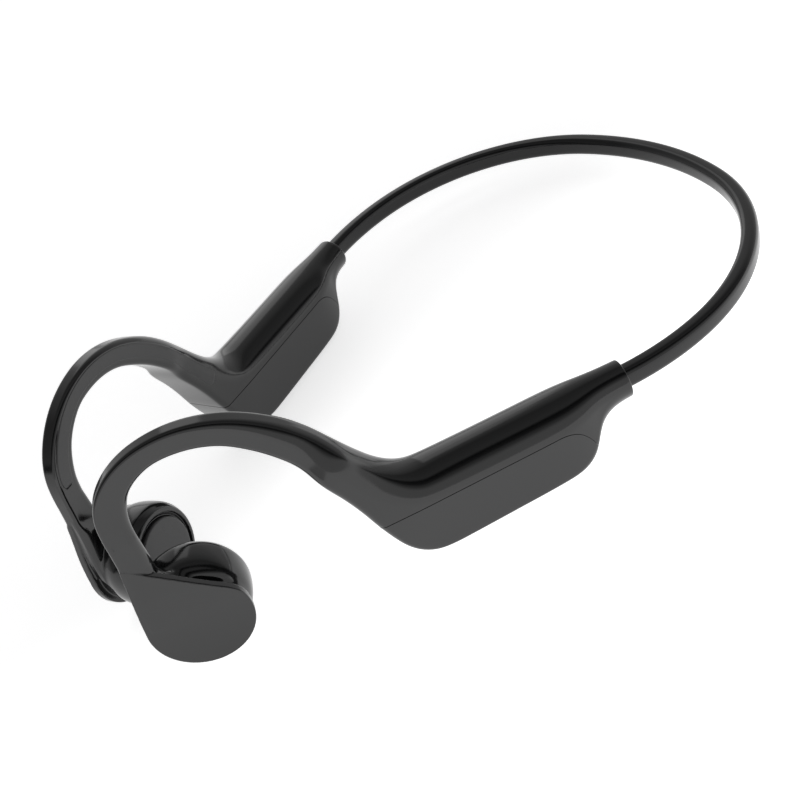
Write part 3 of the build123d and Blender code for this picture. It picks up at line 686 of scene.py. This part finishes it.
TRANSDUCER_BOX = ((-11.6, -11.6, -12.8), (11.6, 22.0, 0.8))
pitch = 0.24
points, faces = build_skin()
for side, label in ((1, "left"), (-1, "right")):
    body = label + "_side"
    upper = place_bmesh(parted(points, faces, True), label + "_hook_and_pod_top", side, SHELL)
    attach(upper, body)
    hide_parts(label + "_frame")
    shell = parted(points, faces, False)
    if side < 0:
        shell = open_underside(shell)
    lower = place_bmesh(shell, label + "_pod_shell", side, COVER)
    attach(lower, body)
    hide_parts(label + "_pod_cover")
    strip = build_inlay(side, label + "_hook_strip", INLAY)
    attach(strip, body)
    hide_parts(label + "_hook_inlay")
    spots, quads, normals = level_set(transducer, *TRANSDUCER_BOX, pitch)
    if side < 0:
        quads = quads[:, ::-1]
    end = new_object(label + "_transducer_shell", row_frame(DISC.level(spots), side), quads, SHELL,
                     turn_normal(normals @ DISC.m, side))
    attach(end, body)
    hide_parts(label + "_transducer_housing")
    pad = turned(label + "_pad_face", PAD_PROFILE, side, PAD)
    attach(pad, body)
    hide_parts(label + "_contact_pad")
    roll = turned(label + "_suspension_roll", RING_PROFILE, side, RUBBER)
    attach(roll, body)
    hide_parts(label + "_suspension_ring")

# ---- neckband ----------------------------------------------------------------------------------
TOE = radians(19.4)
EXIT_ARC, SIDE_ARC, BACK_ARC = 50.0, 42.5, 66.0
SOCKET = 43.5


def band_line(pitch=0.8):
    """Plan of the band from the left socket round the back to the right one, with headings."""
    start, leave = POD.level((SOCKET, 0, 0))[:2], POD.level((SLEEVE_END, 0, 0))[:2]
    side = leave + EXIT_ARC * np.array((1 - cos(TOE), sin(TOE)))
    reach = side[0] - SIDE_ARC
    drop = sqrt((BACK_ARC - SIDE_ARC)**2 - reach**2)
    swing = atan2(drop, reach)
    line = [(start[0] + (leave[0] - start[0]) * t, start[1] + (leave[1] - start[1]) * t)
            for t in np.linspace(0, 1, 11, endpoint=False)]
    for t in np.linspace(TOE, 0, int(EXIT_ARC * TOE / pitch), endpoint=False):
        line.append((side[0] - EXIT_ARC * (1 - cos(t)), side[1] - EXIT_ARC * sin(t)))
    for t in np.linspace(0, swing, int(SIDE_ARC * swing / pitch), endpoint=False):
        line.append((reach + SIDE_ARC * cos(t), side[1] + SIDE_ARC * sin(t)))
    for t in np.linspace(swing, pi / 2, int(BACK_ARC * (pi / 2 - swing) / pitch)):
        line.append((BACK_ARC * cos(t), side[1] - drop + BACK_ARC * sin(t)))
    line = np.array(line)
    return np.vstack((line, line[-2::-1] * (-1, 1)))


def band_piece(name, section, level, look):
    line = band_line()
    along = np.gradient(line, axis=0)
    along /= np.linalg.norm(along, axis=1)[:, None]
    rings = []
    for (x, y), (dx, dy) in zip(line, along):
        rings.append([(x + a * dy, y - a * dx, level + b) for a, b in section])
    count, around = len(rings), len(section)
    faces = tube_faces(count, around)
    faces += [tuple(range(around)), tuple(range((count - 1) * around, count * around))]
    obj = new_object(name, row_frame(np.array(rings).reshape(-1, 3), 1), faces, look)
    outward(obj)
    obj.data.shade_smooth()
    return obj


def rounded(width, height, corner, steps=9, bulge=0.12):
    out = []
    for sx, sy, start in ((1, 1, 0), (-1, 1, 90), (-1, -1, 180), (1, -1, 270)):
        for t in np.linspace(start, start + 90, steps):
            out.append([sx * (width / 2 - corner) + corner * cos(radians(t)),
                        sy * (height / 2 - corner) + corner * sin(radians(t))])
    return [(x * (1 + bulge * 0.1 * cos(pi * y / height)), y) for x, y in out]


def round_section(radius):
    return [(radius * cos(t), radius * sin(t)) for t in np.linspace(0, 2 * pi, 16, endpoint=False)]


BAND_LEVEL = 1.3
WIRE_RADIUS, WIRE_LEVEL = 0.5, 2.25
LEAD_RADIUS, LEAD_LEVEL = 0.55, 0.35
bands = (
    ("neckband_silicone", rounded(3.5, 4.3, 1.35), BAND_LEVEL, SKIN, "neckband_skin", "soft_skin"),
    ("neckband_memory_wire", round_section(WIRE_RADIUS), WIRE_LEVEL, ALLOY,
     "memory_wire", "memory_alloy"),
    ("neckband_lead", round_section(LEAD_RADIUS), LEAD_LEVEL, JACKET,
     "neckband_cable", "cable_jacket"),
)
for name, section, level, look, node_name, slot_name in bands:
    piece = band_piece(name, section, level, look)
    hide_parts(node_name)
    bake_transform(piece)

# ---- stage, light and camera ----------------------------------------------------------------------
# The floor's glow is painted light, stronger towards +x, not light from the lamps or the dome.
PAINTED_GLOW_FROM, PAINTED_GLOW_TO = (-0.03, 0.64), (0.05, 1.3)     # place along x and strength of the floor's glow


def build_floor():
    """Pale ground with painted light: it glows, more strongly towards +x, and the glow pales its shadows.
    """
    look = bpy.data.materials.new("pale_floor")
    look.use_nodes = True
    nodes, links = look.node_tree.nodes, look.node_tree.links
    bsdf = nodes["Principled BSDF"]
    bsdf.inputs["Base Color"].default_value = (0.93, 0.93, 0.935, 1)
    bsdf.inputs["Roughness"].default_value = 0.9
    bsdf.inputs["Specular IOR Level"].default_value = 0.1
    bsdf.inputs["Emission Color"].default_value = (1, 1, 1, 1)
    spot = nodes.new("ShaderNodeTexCoord")
    split = nodes.new("ShaderNodeSeparateXYZ")
    glow = nodes.new("ShaderNodeMapRange")
    glow.interpolation_type = "SMOOTHSTEP"
    for end, (place, strength) in (("Min", PAINTED_GLOW_FROM), ("Max", PAINTED_GLOW_TO)):
        glow.inputs["From " + end].default_value = place
        glow.inputs["To " + end].default_value = strength
    links.new(spot.outputs["Object"], split.inputs[0])
    links.new(split.outputs["X"], glow.inputs["Value"])
    # painted light: the emission brightens the floor beyond what the lamps and dome give, more towards +x,
    # so its shadows stay pale
    links.new(glow.outputs[0], bsdf.inputs["Emission Strength"])
    bpy.ops.mesh.primitive_plane_add(size=6.0, location=(0, 0, 0))
    floor = bpy.context.object
    floor.name = "floor"
    floor.data.materials.append(look)
    return floor


build_floor()

# Studio dome: a white wall low on the +x side, a dark gap above it, a soft ceiling and a pale far wall.
DOME = ((0, 1.0), (27, 1.0), (46, 0.34), (55, 0.06), (67, 0.0), (76, 0.34), (100, 0.26), (110, 0.22),
        (125, 0.42), (142, 0.55), (160, 0.66), (180, 0.62))
DOME_SIDE = Vector((0.93, -0.37, 0.0))


def build_dome():
    """World light that depends on the angle above the ground, from one side over to the other."""
    world = bpy.data.worlds.new("studio")
    world.use_nodes = True
    nodes, links = world.node_tree.nodes, world.node_tree.links
    sky = nodes["Background"]
    ray = nodes.new("ShaderNodeTexCoord")
    along = nodes.new("ShaderNodeVectorMath")
    along.operation = "DOT_PRODUCT"
    along.inputs[1].default_value = DOME_SIDE
    height = nodes.new("ShaderNodeSeparateXYZ")
    angle = nodes.new("ShaderNodeMath")
    angle.operation = "ARCTAN2"
    share = nodes.new("ShaderNodeMapRange")
    share.inputs["From Max"].default_value = pi
    ramp = nodes.new("ShaderNodeValToRGB")
    ramp.color_ramp.interpolation = "EASE"
    links.new(ray.outputs["Generated"], along.inputs[0])
    links.new(ray.outputs["Generated"], height.inputs[0])
    links.new(height.outputs["Z"], angle.inputs[0])
    links.new(along.outputs["Value"], angle.inputs[1])
    links.new(angle.outputs[0], share.inputs["Value"])
    links.new(share.outputs[0], ramp.inputs[0])
    links.new(ramp.outputs[0], sky.inputs["Color"])
    stops = ramp.color_ramp.elements
    while len(stops) < len(DOME):
        stops.new(0.5)
    for stop, (degrees_up, level) in zip(stops, DOME):
        stop.position = degrees_up / 180
        stop.color = (level, level, level, 1)
    sky.inputs["Strength"].default_value = 1.0
    return world


scene = bpy.context.scene
scene.world = build_dome()
scene.view_settings.view_transform = "Standard"
scene.view_settings.look = "None"


def lamp(name, where, aim, size, power, size_y=None):
    data = bpy.data.lights.new(name, "AREA")
    data.shape = "RECTANGLE"
    data.size, data.size_y = size, size_y or size
    data.energy = power
    obj = bpy.data.objects.new(name, data)
    scene.collection.objects.link(obj)
    obj.location = where
    obj.rotation_euler = (Vector(aim) - Vector(where)).to_track_quat("-Z", "Y").to_euler()
    return obj


lamp("back_left", (-1.1, 0.5, 0.7), (0, 0, 0.02), 0.5, 1.2, 1.2)

CAM_AT = Vector((0.2110, -0.0907, 0.1787))
look_dir = Vector((-0.7363, 0.2928, -0.6100)).normalized()
cam_up = Vector((-0.3161, 0.6483, 0.6927))
cam_right = look_dir.cross(cam_up).normalized()
cam_up = cam_right.cross(look_dir).normalized()
camera_data = bpy.data.cameras.new("camera")
camera_data.sensor_width = 36.0
camera_data.lens = 63.3
camera_data.clip_start = 0.01
camera = bpy.data.objects.new("camera", camera_data)
scene.collection.objects.link(camera)
facing = Matrix((cam_right, cam_up, -look_dir)).transposed().to_4x4()
camera.matrix_world = Matrix.Translation(CAM_AT) @ facing
scene.camera = camera
